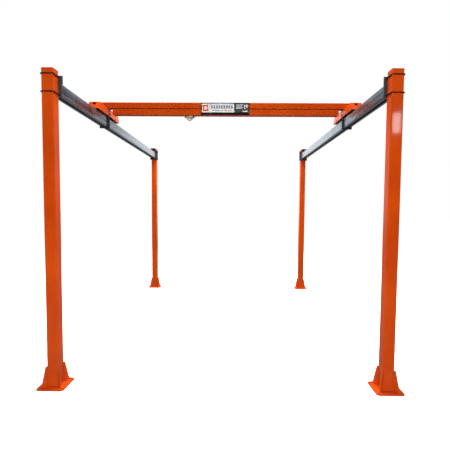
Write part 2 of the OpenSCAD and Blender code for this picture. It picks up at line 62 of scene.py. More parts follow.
bl_info = {
    "name": "Bridge Crane Builder",
    "version": (1, 0, 0),
    "blender": (4, 5, 0),
    "location": "View3D > Sidebar > Crane",
    "description": "Builds the posts, runways, bridge and trolley of a free-standing bridge crane",
    "category": "Add Mesh",
}

MM = 0.001
X, Y, Z = 0, 1, 2
SIDES = ("left", "right")
ENDS = ("front", "rear")
CORNERS = [f"{end}_{side}" for end in ENDS for side in SIDES]
PLACES = [(side, end) for side in SIDES for end in ENDS]
FLOOR_RADIUS = 60.0
FLOOR_GAP = 0.2 * MM

# Vertices this near are one, faces this level are one, and a cosine or a share above this is along an axis
MERGE = 0.002 * MM
FLAT = math.radians(1.0)
ALIGNED = 0.9

# A hexagon's width and a head's height in shank diameters, a nut's play, and the thread's pitch and depth
HEX_FLATS = 1.6
HEX_HEAD = 0.65
NUT_PLAY = 0.2 * MM
PITCH = 1.5 * MM
THREAD_DEPTH = 0.55 * MM

# A material slot's name and the finish of what is made in it
ORANGE = ("orange_paint", "powder_coat")
BRACKET = ("dark_bracket_steel", "bracket_paint")
BLACK = ("black_steel", "black_oxide")
ZINC = ("zinc_plated_steel", "bright_zinc")
GALVANISED = ("galvanised_steel", "galvanised")


# ---- Settings ----


def length(name, description, millimetres):
    """A length setting, given in millimetres and kept in metres."""
    return FloatProperty(
        name=name, description=description, default=millimetres * MM, min=0.0, precision=5,
        unit="LENGTH", subtype="DISTANCE",
    )


def place(name, description, metres):
    """A distance setting in metres, which may be negative."""
    return FloatProperty(name=name, description=description, default=metres, precision=4, unit="LENGTH")


def angle(name, description, degrees):
    """An angle setting, given in degrees and kept in radians."""
    return FloatProperty(name=name, description=description, default=math.radians(degrees), unit="ROTATION")


def number(name, description, default):
    return FloatProperty(name=name, description=description, default=default, min=0.0)


def colour(name, description, default):
    return FloatVectorProperty(
        name=name, description=description, default=default, size=3, min=0.0, max=1.0, subtype="COLOR"
    )


class CraneSizes(bpy.types.PropertyGroup):
    """Sizes of the crane's sections, edges, welds and fasteners"""

    post_radius: length("Post corner", "Outer corner radius of a post", 10.0)
    post_wall: length("Post wall", "Wall thickness of a post", 4.8)
    cap_height: length("Cap height", "Height of a cap above its post", 6.0)
    cap_rim: length("Cap rim", "Rounding of a cap's upper edge", 1.6)
    cap_play: length("Cap play", "Gap between a cap's plug and the post's wall", 1.6)
    gusset: length("Gusset", "Thickness of a gusset at a post's foot", 8.0)
    runway_radius: length("Runway corner", "Outer corner radius of a runway", 7.0)
    runway_wall: length("Runway wall", "Wall thickness of a runway", 4.0)
    runway_slot: length("Runway slot", "Width of the slot along a runway's underside", 28.0)
    beam_radius: length("Beam corner", "Outer corner radius of the beam and the track", 8.0)
    beam_wall: length("Beam wall", "Wall thickness of the beam and the track", 4.0)
    track_slot: length("Track slot", "Width of the slot along the track's underside", 24.0)
    edge: length("Edge", "Rounding of cut and folded steel edges", 0.9)
    fine_edge: length("Fine edge", "Rounding of thin lips and small parts", 0.4)
    weld: length("Weld", "Radius of a fillet weld", 4.6)
    ripple: length("Weld ripple", "Spacing of the ripples along a weld", 3.6)
    u_bar: length("U-bolt bar", "Diameter of a U-bolt's bar", 10.0)
    u_thread: length("U-bolt thread", "Length of thread on each leg of a U-bolt", 26.0)
    truck_axle: length("Truck axle", "Diameter of a truck's axle", 20.0)
    truck_bore: length("Truck wheel bore", "Bore of a truck wheel", 20.1)
    trolley_axle: length("Trolley axle", "Diameter of a trolley axle", 10.0)
    trolley_bore: length("Trolley wheel bore", "Bore of a trolley wheel", 10.1)
    print_depth: length("Print", "Thickness of a printed panel on the sign", 0.4)
    round_steps: IntProperty(
        name="Round steps", description="Segments across a tube's corner", default=8, min=2, max=16
    )


class CraneColours(bpy.types.PropertyGroup):
    """Colours of the crane's finishes"""

    orange: colour("Orange", "Powder coat on the posts, trucks and beam", (0.61, 0.066, 0.0015))
    # Darkened further, deep orange is also the painted shade in the groove between the beam and the track
    orange_deep: colour("Deep orange", "Thin or sheltered powder coat", (0.50, 0.046, 0.001))
    galvanised: colour("Galvanised", "Zinc skin of the runways", (0.30, 0.345, 0.40))
    zinc: colour("Bright zinc", "Plated bolts and axles", (0.62, 0.62, 0.60))
    bracket: colour("Bracket", "Dark paint on the runway brackets", (0.038, 0.042, 0.048))
    black: colour("Black", "Blackened fasteners, stops and straps", (0.008, 0.008, 0.009))
    beige: colour("Beige", "Paint on the trolley", (0.50, 0.42, 0.29))
    nylon: colour("Nylon", "Wheels of the trucks", (0.030, 0.030, 0.033))
    wheel_steel: colour("Wheel steel", "Turned wheels of the trolley", (0.30, 0.30, 0.31))
    rubber: colour("Rubber", "Bumper blocks in the track", (0.016, 0.016, 0.017))
    sign_black: colour("Sign back", "Backing sheet of the sign", (0.006, 0.006, 0.007))
    sign_white: colour("Sign white", "Pale panel of the sign", (0.78, 0.78, 0.77))
    sign_grey: colour("Sign grey", "Bars printed on the pale panel", (0.22, 0.25, 0.30))
    sign_slate: colour("Sign slate", "Dark panel of the sign", (0.055, 0.057, 0.065))
    sign_accent: colour("Sign accent", "Tile on the pale panel", (0.62, 0.080, 0.010))


class CraneStudio(bpy.types.PropertyGroup):
    """Camera, floor and lights"""

    camera_x: place("Camera across", "Camera's place across the crane", 0.1081)
    camera_back: place("Camera distance", "Camera's distance in front of the front posts", 3.100)
    camera_height: place("Camera height", "Camera's height above the floor", 1.5713)
    yaw: angle("Yaw", "Turn of the camera towards the right", -0.690)
    pitch: angle("Pitch", "Tilt of the camera above the horizon", -3.194)
    roll: angle("Roll", "Roll of the camera", 0.437)
    lens: FloatProperty(name="Lens", description="Focal length on a 36 mm sensor", default=28.761)
    shift_x: FloatProperty(name="Shift across", description="Lens shift across", default=-0.0089)
    shift_y: FloatProperty(name="Shift up", description="Lens shift up", default=0.0096)
    floor_colour: colour("Floor", "Pale studio floor", (0.93, 0.93, 0.925))
    top_light: number("Top light", "Power of the overhead light in watts", 1000.0)
    front_light: number("Front light", "Power of the front light in watts", 290.0)
    low_light: number("Low light", "Power of the low light between the front posts in watts", 25.0)
    fill_light: number("Fill light", "Power of each soft light beside the crane in watts", 150.0)
    side_light: number("Side light", "Power of each side light in watts", 45.0)
    back_light: number("Back light", "Power of the light behind the crane in watts", 330.0)
    window_light: number("Window light", "Power of the small window light in watts", 4.0)


# ---- Shader maths ----


class Wire:
    """A shader value that adds Math nodes when it takes part in an expression."""

    def __init__(self, finish, socket):
        self.finish = finish
        self.socket = socket

    def maths(self, operation, *values, clamp=False):
        options = {"operation": operation, "use_clamp": clamp}
        return self.finish.add("ShaderNodeMath", options, dict(enumerate(values)))

    def __add__(self, other):
        return self.maths("ADD", self, other)

    def __radd__(self, other):
        return self.maths("ADD", other, self)

    def __sub__(self, other):
        return self.maths("SUBTRACT", self, other)

    def __rsub__(self, other):
        return self.maths("SUBTRACT", other, self)

    def __mul__(self, other):
        return self.maths("MULTIPLY", self, other)

    def __rmul__(self, other):
        return self.maths("MULTIPLY", other, self)

    def between(self, low, high):
        """0 below low, 1 above high and a straight line in between."""
        return self.maths("MULTIPLY", self - low, 1.0 / (high - low), clamp=True)


class Finish:
    """A node material or world that is written as expressions."""

    def __init__(self, owner):
        owner.use_nodes = True
        self.tree = owner.node_tree
        self.tree.nodes.clear()

    def add(self, kind, settings=None, inputs=None, output=0):
        """Adds one node: its settings first, then the values or links of its sockets."""
        node = self.tree.nodes.new(kind)
        for key, value in (settings or {}).items():
            setattr(node, key, value)
        for key, value in (inputs or {}).items():
            if isinstance(value, Wire):
                self.tree.links.new(value.socket, node.inputs[key])
            else:
                node.inputs[key].default_value = value
        return Wire(self, node.outputs[output]) if len(node.outputs) else None

    def spot(self, stretch=(1.0, 1.0, 1.0)):
        """Object coordinates, stretched."""
        where = self.add("ShaderNodeTexCoord", output="Object")
        return self.add("ShaderNodeMapping", {}, {"Vector": where, "Scale": stretch})

    def noise(self, where, scale, detail=3.0, roughness=0.5):
        sockets = {"Vector": where, "Scale": scale, "Detail": detail, "Roughness": roughness}
        return self.add("ShaderNodeTexNoise", {}, sockets)

    def cells(self, where, scale):
        """Crystals, each with a colour of its own."""
        return self.add("ShaderNodeTexVoronoi", {}, {"Vector": where, "Scale": scale}, "Color")

    def mix(self, share, first, second):
        """Blends two colours, where share runs from the first to the second."""
        first, second = ((*tint, 1.0) if isinstance(tint, tuple) else tint for tint in (first, second))
        return self.add("ShaderNodeMix", {"data_type": "RGBA"}, {0: share, 6: first, 7: second}, output=2)

    def marked(self, layer):
        """1 on the faces that a layer marks, such as the rim of a cut plate, and 0 elsewhere."""
        return self.add("ShaderNodeAttribute", {"attribute_name": layer}, output="Fac")

    def axis(self, where, letter):
        return self.add("ShaderNodeSeparateXYZ", {}, {0: where}, letter)

    def bump(self, height, strength, distance):
        return self.add("ShaderNodeBump", {}, {"Height": height, "Strength": strength, "Distance": distance})

    def close(self, **sockets):
        """Feeds the surface shader and the output."""
        named = {key.replace("_", " "): value for key, value in sockets.items()}
        surface = self.add("ShaderNodeBsdfPrincipled", {}, named)
        self.add("ShaderNodeOutputMaterial", {}, {"Surface": surface})


def shades(tint, low, high):
    """A darker and a lighter version of a colour."""
    return tuple(value * low for value in tint), tuple(min(1.0, value * high) for value in tint)


# ---- Finishes ----


def powder_coat(finish, tint, deep):
    """Glossy baked powder with a faint orange peel, cloudy tone, dust near the floor, and painted shade with
    dirt in the groove where the beam meets the track.
    """
    where = finish.spot()
    cloud = finish.noise(where, 2.3, 4.0)
    peel = finish.noise(where, 420.0, 2.0)
    wave = finish.noise(where, 60.0, 2.0)
    specks = finish.noise(where, 900.0, 1.0)
    height = finish.axis(where, "Z")
    dust = (1.0 - height.between(0.0, 0.35)) * finish.noise(where, 14.0, 5.0).between(0.38, 0.75)
    rub = finish.noise(finish.spot((1.0, 1.0, 0.06)), 160.0, 3.0).between(0.62, 0.80)
    base = finish.mix(cloud.between(0.35, 0.70), deep, tint)
    base = finish.mix(specks.between(0.70, 0.78) * 0.10, base, shades(tint, 0.45, 1.0)[0])
    base = finish.mix(dust * 0.12, base, (0.40, 0.19, 0.08))
    worn = finish.marked("rim") * finish.noise(where, 55.0, 4.0).between(0.46, 0.60)
    base = finish.mix(worn * 0.7, base, shades(deep, 0.35, 1.0)[0])
    # Painted shade and dirt: the faces by the joint of beam and track are darkened nearly to black
    base = finish.mix(finish.marked("seam") * 0.80, base, shades(deep, 0.12, 1.0)[0])
    finish.close(
        Base_Color=base,
        Roughness=0.44 + cloud * 0.06 + dust * 0.18 + rub * 0.08 + worn * 0.1,
        Normal=finish.bump(peel * 0.7 + wave * 0.3, 0.035, 0.0003),
        Coat_Weight=0.60 - dust * 0.3 - rub * 0.2,
        Coat_Roughness=0.07,
        Specular_IOR_Level=0.3,
        Specular_Tint=(1.0, 0.40, 0.10, 1.0),
    )


def galvanised(finish, tint):
    """Dipped zinc: crystals of slightly different tone, with drawn streaks, a lighter painted sheen band and
    dull blooms.
    """
    where = finish.spot()
    crystals = finish.axis(finish.cells(where, 70.0), "X")
    small = finish.axis(finish.cells(where, 210.0), "Y")
    streak = finish.noise(finish.spot((1.0, 0.012, 1.0)), 38.0, 4.0).between(0.40, 0.62)
    # Painted sheen: a broad lighter band along the runway that stands in for a reflection
    painted_sheen = finish.noise(finish.spot((1.0, 0.02, 1.0)), 15.0, 2.0).between(0.42, 0.56)
    bloom = finish.noise(where, 5.0, 5.0).between(0.40, 0.70)
    dark, light = shades(tint, 0.45, 1.75)
    # The colour carries real crystal and streak tone and the painted sheen band
    base = finish.mix(crystals * 0.10 + small * 0.04 + streak * 0.41 + painted_sheen * 0.45, dark, light)
    base = finish.mix(bloom * 0.28, base, shades(tint, 0.62, 1.0)[0])
    finish.close(
        Base_Color=base,
        Metallic=0.90 - bloom * 0.15,
        Roughness=0.19 + crystals * 0.05 + streak * 0.06 + painted_sheen * 0.05 + bloom * 0.04,
        Normal=finish.bump(crystals * 0.3 + streak * 0.7, 0.03, 0.0003),
    )


def plated(finish, tint):
    """Bright zinc plate, a little hazy."""
    where = finish.spot()
    haze = finish.noise(where, 90.0, 4.0)
    fine = finish.noise(where, 900.0, 2.0)
    dark, light = shades(tint, 0.80, 1.15)
    finish.close(
        Base_Color=finish.mix(haze, dark, light),
        Metallic=1.0 - haze * 0.1,
        Roughness=0.24 + haze * 0.14,
        Normal=finish.bump(fine, 0.08, 0.0001),
    )


def satin_paint(finish, tint):
    """Thin satin paint with handling marks."""
    where = finish.spot()
    cloud = finish.noise(where, 11.0, 4.0)
    grain = finish.noise(where, 600.0, 2.0)
    scuff = finish.noise(finish.spot((1.0, 4.0, 1.0)), 45.0, 4.0).between(0.60, 0.78)
    dark, light = shades(tint, 0.82, 1.14)
    base = finish.mix(cloud, dark, light)
    base = finish.mix(scuff * 0.25, base, shades(tint, 1.0, 1.9)[1])
    worn = finish.marked("rim") * finish.noise(where, 70.0, 4.0).between(0.45, 0.60)
    base = finish.mix(worn * 0.5, base, (0.20, 0.20, 0.20))
    finish.close(
        Base_Color=base,
        Roughness=0.38 + cloud * 0.10 + scuff * 0.08,
        Normal=finish.bump(grain, 0.10, 0.0002),
        Coat_Weight=0.10,
    )


def blackened(finish, tint):
    """Black oxide on steel, oiled, with brighter rubbed patches."""
    where = finish.spot()
    cloud = finish.noise(where, 60.0, 4.0)
    grain = finish.noise(where, 1100.0, 2.0)
    rubbed = finish.noise(where, 24.0, 5.0).between(0.58, 0.76)
    base = finish.mix(cloud, *shades(tint, 0.75, 1.5))
    base = finish.mix(rubbed * 0.35, base, (0.055, 0.055, 0.058))
    base = finish.mix(finish.marked("rim") * cloud * 0.5, base, (0.09, 0.09, 0.09))
    finish.close(
        Base_Color=base,
        Metallic=0.10 + rubbed * 0.3,
        Roughness=0.52 + cloud * 0.12 - rubbed * 0.10,
        Normal=finish.bump(grain, 0.06, 0.0001),
        Specular_IOR_Level=0.35,
    )


def moulded(finish, tint):
    """Dense plastic or rubber with a fine matt grain."""
    where = finish.spot()
    cloud = finish.noise(where, 30.0, 3.0)
    grain = finish.noise(where, 1500.0, 2.0)
    finish.close(
        Base_Color=finish.mix(cloud, *shades(tint, 0.8, 1.35)),
        Roughness=0.50 + cloud * 0.14,
        Normal=finish.bump(grain, 0.12, 0.0002),
    )


def turned_steel(finish, tint):
    """Bare steel with the fine rings that a lathe leaves."""
    where = finish.spot()
    rings = finish.noise(finish.spot((30.0, 30.0, 30.0)), 80.0, 2.0)
    haze = finish.noise(where, 70.0, 3.0)
    finish.close(
        Base_Color=finish.mix(haze, *shades(tint, 0.8, 1.2)),
        Metallic=1.0 - haze * 0.08,
        Roughness=0.26 + rings * 0.16,
        Normal=finish.bump(rings, 0.06, 0.0001),
    )


def printed(finish, tint):
    """Ink on a satin sheet, with a faint mottle."""
    where = finish.spot()
    mottle = finish.noise(where, 180.0, 3.0)
    weather = finish.noise(where, 12.0, 4.0)
    finish.close(
        Base_Color=finish.mix(weather * 0.6 + mottle * 0.4, *shades(tint, 0.88, 1.10)),
        Roughness=0.34 + weather * 0.10,
        Normal=finish.bump(mottle, 0.05, 0.0002),
        Coat_Weight=0.10,
        Specular_IOR_Level=0.3,
    )


def pale_floor(finish, tint):
    """Pale seamless floor with a barely visible unevenness."""
    where = finish.spot()
    cloud = finish.noise(where, 0.8, 4.0)
    grain = finish.noise(where, 260.0, 3.0)
    finish.close(
        Base_Color=finish.mix(cloud, *shades(tint, 0.985, 1.0)),
        Roughness=0.75 + cloud * 0.1,
        Normal=finish.bump(grain, 0.02, 0.0005),
        Emission_Color=(*tint, 1.0),
        Emission_Strength=0.92,
    )


FINISHES = {
    "powder_coat": (powder_coat, "orange", "orange_deep"),
    "galvanised": (galvanised, "galvanised"),
    "bright_zinc": (plated, "zinc"),
    "bracket_paint": (satin_paint, "bracket"),
    "black_oxide": (blackened, "black"),
    "beige_enamel": (satin_paint, "beige"),
    "nylon": (moulded, "nylon"),
    "rubber": (moulded, "rubber"),
    "turned_steel": (turned_steel, "wheel_steel"),
    "sign_black": (printed, "sign_black"),
    "sign_white": (printed, "sign_white"),
    "sign_grey": (printed, "sign_grey"),
    "sign_slate": (printed, "sign_slate"),
    "sign_accent": (printed, "sign_accent"),
}


def material(name):
    """The named finish, made when it is first asked for."""
    if name not in bpy.data.materials:
        recipe, *tints = FINISHES[name]
        colours = bpy.context.scene.crane_colours
        recipe(Finish(bpy.data.materials.new(name)), *[tuple(getattr(colours, tint)) for tint in tints])
    return bpy.data.materials[name]


# ---- Shapes ----


def settings():
    return bpy.context.scene.crane_sizes


def deliver(bm, name, body, look, replaced=(), crease=38.0):
    """Turns a bmesh into a finished piece that rides on a body. A look is a material slot, which is not used,
    and a finish.
    """
    slot, finish = look
    bmesh.ops.recalc_face_normals(bm, faces=bm.faces[:])
    mesh = bpy.data.meshes.new(name)
    bm.to_mesh(mesh)
    bm.free()
    mesh.shade_smooth()
    mesh.set_sharp_from_angle(angle=math.radians(crease))
    mesh.materials.append(material(finish))
    piece = bpy.data.objects.new(name, mesh)
    bpy.context.scene.collection.objects.link(piece)
    normals = piece.modifiers.new("flat_faces", "WEIGHTED_NORMAL")
    normals.keep_sharp = True
    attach(piece, body)
    if replaced:
        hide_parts(*replaced)


def welded(node):
    """A bmesh of a CAD node, with its loose triangles merged."""
    bm = bmesh.new()
    bm.from_mesh(NODES[node].data)
    bmesh.ops.remove_doubles(bm, verts=bm.verts[:], dist=MERGE)
    return bm


def bevel(bm, edges, width, steps):
    """Rounds some edges and returns the faces that this makes."""
    return bmesh.ops.bevel(
        bm, geom=edges, offset=width, offset_type="OFFSET", segments=steps, profile=0.5,
        affect="EDGES", clamp_overlap=False, material=-1,
    )["faces"]


def soften(bm, width, corner=50.0):
    """Rounds every edge that turns by more than corner degrees, and marks the rounded faces as a rim."""
    rim = bm.faces.layers.float.new("rim")
    sharp = [e for e in bm.edges if e.is_manifold and e.calc_face_angle(0.0) > math.radians(corner)]
    for face in bevel(bm, sharp, width, 2):
        face[rim] = 1.0
    return bm


def rounded(node, width, name, body, look):
    """Delivers a CAD node's own shape with its edges rounded."""
    bm = welded(node)
    bmesh.ops.dissolve_limit(bm, angle_limit=FLAT, verts=bm.verts[:], edges=bm.edges[:])
    deliver(soften(bm, width), name, body, look, [node])


def mark_seam_shade_and_dirt(bm, height, reach):
    """Marks the faces within reach of the joint at a height, for the painted shade and dirt in the groove
    there.
    """
    seam = bm.faces.layers.float.new("seam")
    for face in bm.faces:
        if abs(face.calc_center_median().z - height) < reach:
            face[seam] = 1.0


def solids_of(node):
    """Lowest and highest corner of each separate solid in a CAD node, in a fixed order."""
    bm = welded(node)
    left_over, boxes = set(bm.verts), []
    while left_over:
        reached, waiting = set(), [left_over.pop()]
        while waiting:
            vert = waiting.pop()
            reached.add(vert)
            for edge in vert.link_edges:
                other = edge.other_vert(vert)
                if other in left_over:
                    left_over.discard(other)
                    waiting.append(other)
        spots = [vert.co for vert in reached]
        low = Vector(min(spot[axis] for spot in spots) for axis in (X, Y, Z))
        high = Vector(max(spot[axis] for spot in spots) for axis in (X, Y, Z))
        boxes.append((low, high))
    bm.free()
    return sorted(boxes, key=lambda box: tuple(round(value, 5) for value in (box[0] + box[1])))


def gather(shapes):
    """Joins several small bmeshes into one."""
    whole = bmesh.new()
    for shape in shapes:
        mesh = bpy.data.meshes.new("part")
        shape.to_mesh(mesh)
        shape.free()
        whole.from_mesh(mesh)
        bpy.data.meshes.remove(mesh)
    return whole


def block(low, high, along=Z, radius=0.0, rim=0.0, steps=6):
    """A solid bar whose long edges, along one axis, have a radius, and whose ends have a rim."""
    bm = bmesh.new()
    size = high - low
    fit = Matrix.Translation((low + high) / 2) @ Matrix.Diagonal((*size, 1))
    bmesh.ops.create_cube(bm, size=1.0, matrix=fit)
    if radius:
        lengths = {e: abs((e.verts[0].co - e.verts[1].co)[along]) for e in bm.edges}
        bevel(bm, [e for e in bm.edges if lengths[e] > size[along] * ALIGNED], radius, steps)
    if rim:
        ends = {f for f in bm.faces if abs(f.normal[along]) > ALIGNED}
        bevel(bm, [e for e in bm.edges if len(ends.intersection(e.link_faces)) == 1], rim, 3)
    return bm


def section(low, high, along, radius, wall, slot=0.0, lip=0.0):
    """A rolled hollow section along one axis, with an optional slot along its underside."""
    bm = block(low, high, along, radius, steps=settings().round_steps)
    across = X if along == Y else Y
    middle = (low + high) / 2
    ends = [f for f in bm.faces if abs(f.normal[along]) > ALIGNED]
    bmesh.ops.delete(bm, geom=ends, context="FACES")
    if slot:
        for side in (-1, 1):
            cut, normal = middle.copy(), Vector((0, 0, 0))
            cut[across] += side * slot / 2
            normal[across] = 1.0
            everything = bm.verts[:] + bm.edges[:] + bm.faces[:]
            bmesh.ops.bisect_plane(bm, geom=everything, dist=MERGE, plane_co=cut, plane_no=normal)
        below = [f for f in bm.faces if f.normal.z < -ALIGNED]
        gap = [f for f in below if abs(f.calc_center_median()[across] - middle[across]) < slot / 2]
        bmesh.ops.delete(bm, geom=gap, context="FACES")
    bmesh.ops.solidify(bm, geom=bm.faces[:], thickness=wall)
    return soften(bm, lip, corner=70.0) if lip else bm


def facing(centre, direction):
    """A matrix that takes +Z to a direction and the origin to a centre."""
    turn = Vector((0, 0, 1)).rotation_difference(Vector(direction))
    return Matrix.Translation(centre) @ turn.to_matrix().to_4x4()


def aim(low, high, axis, way, inset=0.0):
    """A matrix that takes +Z along an axis, one way or the other, from just inside that end of a box."""
    spot = (low + high) / 2
    spot[axis] = high[axis] - inset if way > 0 else low[axis] + inset
    if axis == Z and way < 0:
        return Matrix.Translation(spot) @ Matrix.Rotation(math.pi, 4, "X")
    return facing(spot, [way if other == axis else 0 for other in (X, Y, Z)])


def set_ring(verts, height, reach):
    """Moves a circle's vertices to a height and to their reach from the axis."""
    for vert in verts:
        heading = math.atan2(vert.co.y, vert.co.x)
        radius = reach(heading) if callable(reach) else reach
        vert.co = Vector((radius * math.cos(heading), radius * math.sin(heading), height))


def stack(rings, where, segments=24, bored=False):
    """Skins rings of (height, reach) from bottom to top, where reach is a radius or a function of heading."""
    bm = bmesh.new()
    verts = bmesh.ops.create_circle(bm, segments=segments, radius=1.0)["verts"]
    first = edges = bm.edges[:]
    set_ring(verts, *rings[0])
    for height, reach in rings[1:]:
        grown = bmesh.ops.extrude_edge_only(bm, edges=edges)["geom"]
        verts = [g for g in grown if isinstance(g, bmesh.types.BMVert)]
        new = set(verts)
        edges = [g for g in grown if isinstance(g, bmesh.types.BMEdge) and new.issuperset(g.verts)]
        set_ring(verts, height, reach)
    if bored:
        bmesh.ops.bridge_loops(bm, edges=first + edges)
    else:
        bmesh.ops.contextual_create(bm, geom=first)
        bmesh.ops.contextual_create(bm, geom=edges)
    bmesh.ops.transform(bm, matrix=where, verts=bm.verts[:])
    return bm


def lathed(low, high, axis, half, segments, bored=False):
    """Turns a profile and its mirror image about an axis. Half of it runs in from the end face."""
    rings = [(-height, size) for height, size in half] + [(height, size) for height, size in reversed(half)]
    where = aim(low, high, axis, 1, (high - low)[axis] / 2)
    return stack(rings, where, segments, bored)


def across(low, high, axis):
    """The lesser and the greater side of a box across an axis."""
    return sorted(side for other, side in enumerate(high - low) if other != axis)


def collar(low, high, axis, bore, rim=0.3 * MM):
    """A washer or spacer that fills a box along an axis."""
    outer, height = across(low, high, axis)[1] / 2, (high - low)[axis]
    rings = [(0.0, bore / 2), (0.0, outer - rim), (rim, outer)]
    rings += [(height - rim, outer), (height, outer - rim), (height, bore / 2)]
    return stack(rings, aim(low, high, axis, 1, height), 32, bored=True)


# ---- Fasteners ----


def hexagon(flats):
    """Reach of a hexagon, as wide as flats, at any heading."""
    third = math.pi / 3
    return lambda heading: flats / 2 / math.cos(heading % third - third / 2)


def thread_reach(radius, height, heading):
    """Distance from a screw's axis to its helical thread."""
    turn = (height / PITCH - heading / (2 * math.pi)) % 1.0
    return radius - THREAD_DEPTH * abs(2 * turn - 1)


def thread(radius, start, end):
    """Rings of a helical thread from start to end."""
    steps = max(1, round((end - start) / (PITCH / 4)))
    heights = [start + (end - start) * step / steps for step in range(steps + 1)]
    return [(height, partial(thread_reach, radius, height)) for height in heights]


def bolt(low, high, axis, way, tail=9.0 * MM):
    """A hex bolt that fills a box, its head at one end of an axis, threaded along its tail."""
    flats = across(low, high, axis)[0]
    radius, head = flats / HEX_FLATS / 2, HEX_HEAD * flats / HEX_FLATS
    chamfer, tip, point = head * 0.16, radius * 0.72, 0.9 * MM
    boss, lift, crown, dish, dent = flats * 0.47, 0.5 * MM, flats * 0.46, flats * 0.40, 0.3 * MM
    end = head - (high - low)[axis]
    rings = [(end, tip)] + thread(radius, end + point, end + tail)
    rings += [(end + tail + 0.2 * MM, radius), (0.0, radius), (0.0, boss), (lift, boss)]
    rings += [(lift, hexagon(flats)), (head - chamfer, hexagon(flats)), (head, crown)]
    rings += [(head, dish), (head - dent, dish - flats * 0.02)]
    return stack(rings, aim(low, high, axis, way, head))


def nut(low, high, axis, shank=0.0):
    """A hex nut that fills a box along an axis, for a shank of a given or the usual diameter."""
    flats, height = across(low, high, axis)[0], (high - low)[axis]
    radius = ((shank or flats / HEX_FLATS) + NUT_PLAY) / 2
    chamfer, sink, crown = height * 0.14, 0.6 * MM, flats * 0.46
    rings = [(sink, radius), (0.0, radius + sink), (0.0, crown), (chamfer, hexagon(flats))]
    rings += [(height - chamfer, hexagon(flats)), (height, crown)]
    rings += [(height, radius + sink), (height - sink, radius)]
    return stack(rings, aim(low, high, axis, 1, height), bored=True)


def bolt_or_nut(low, high, axis, way):
    """A nut where the box is short along its axis, and otherwise a bolt."""
    diameter = across(low, high, axis)[0] / HEX_FLATS
    return nut(low, high, axis) if (high - low)[axis] < 1.5 * diameter else bolt(low, high, axis, way)


def fill(node, shape, *details):
    """One bmesh with a shape in the box of each of a node's solids."""
    return gather([shape(low, high, *details) for low, high in solids_of(node)])


# ---- Posts and feet ----


class CRANE_OT_posts(bpy.types.Operator):
    """Rolls the four square posts and sets a cap in the top of each"""

    bl_idname = "crane.posts"
    bl_label = "Posts and Caps"

    def execute(self, context):
        sizes = settings()
        for corner in CORNERS:
            low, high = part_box(f"column_{corner}")
            tube = section(low, high, Z, sizes.post_radius, sizes.post_wall)
            deliver(tube, f"post_{corner}", "frame", ORANGE, [f"column_{corner}"])
        caps = []
        inset = Vector((1, 1, 0)) * (sizes.post_wall + sizes.cap_play)
        for low, high in solids_of("column_caps"):
            seat = high.z - sizes.cap_height
            lid_radius, plug_radius = sizes.post_radius + sizes.edge, sizes.post_radius - sizes.post_wall
            lid_low = Vector((low.x, low.y, seat))
            caps.append(block(lid_low, high, Z, lid_radius, rim=sizes.cap_rim, steps=sizes.round_steps))
            caps.append(block(low + inset, Vector((high.x, high.y, seat)) - inset, Z, plug_radius))
        deliver(gather(caps), "post_caps", "frame", ORANGE, ["column_caps"])
        return {"FINISHED"}


class CRANE_OT_feet(bpy.types.Operator):
    """Cuts the base plates and gussets, with every edge rounded"""

    bl_idname = "crane.feet"
    bl_label = "Base Plates and Gussets"

    def execute(self, context):
        for corner in CORNERS:
            rounded(f"base_plate_{corner}", settings().edge, f"foot_plate_{corner}", "frame", ORANGE)
            rounded(f"gussets_{corner}", settings().edge, f"foot_gussets_{corner}", "frame", ORANGE)
        return {"FINISHED"}


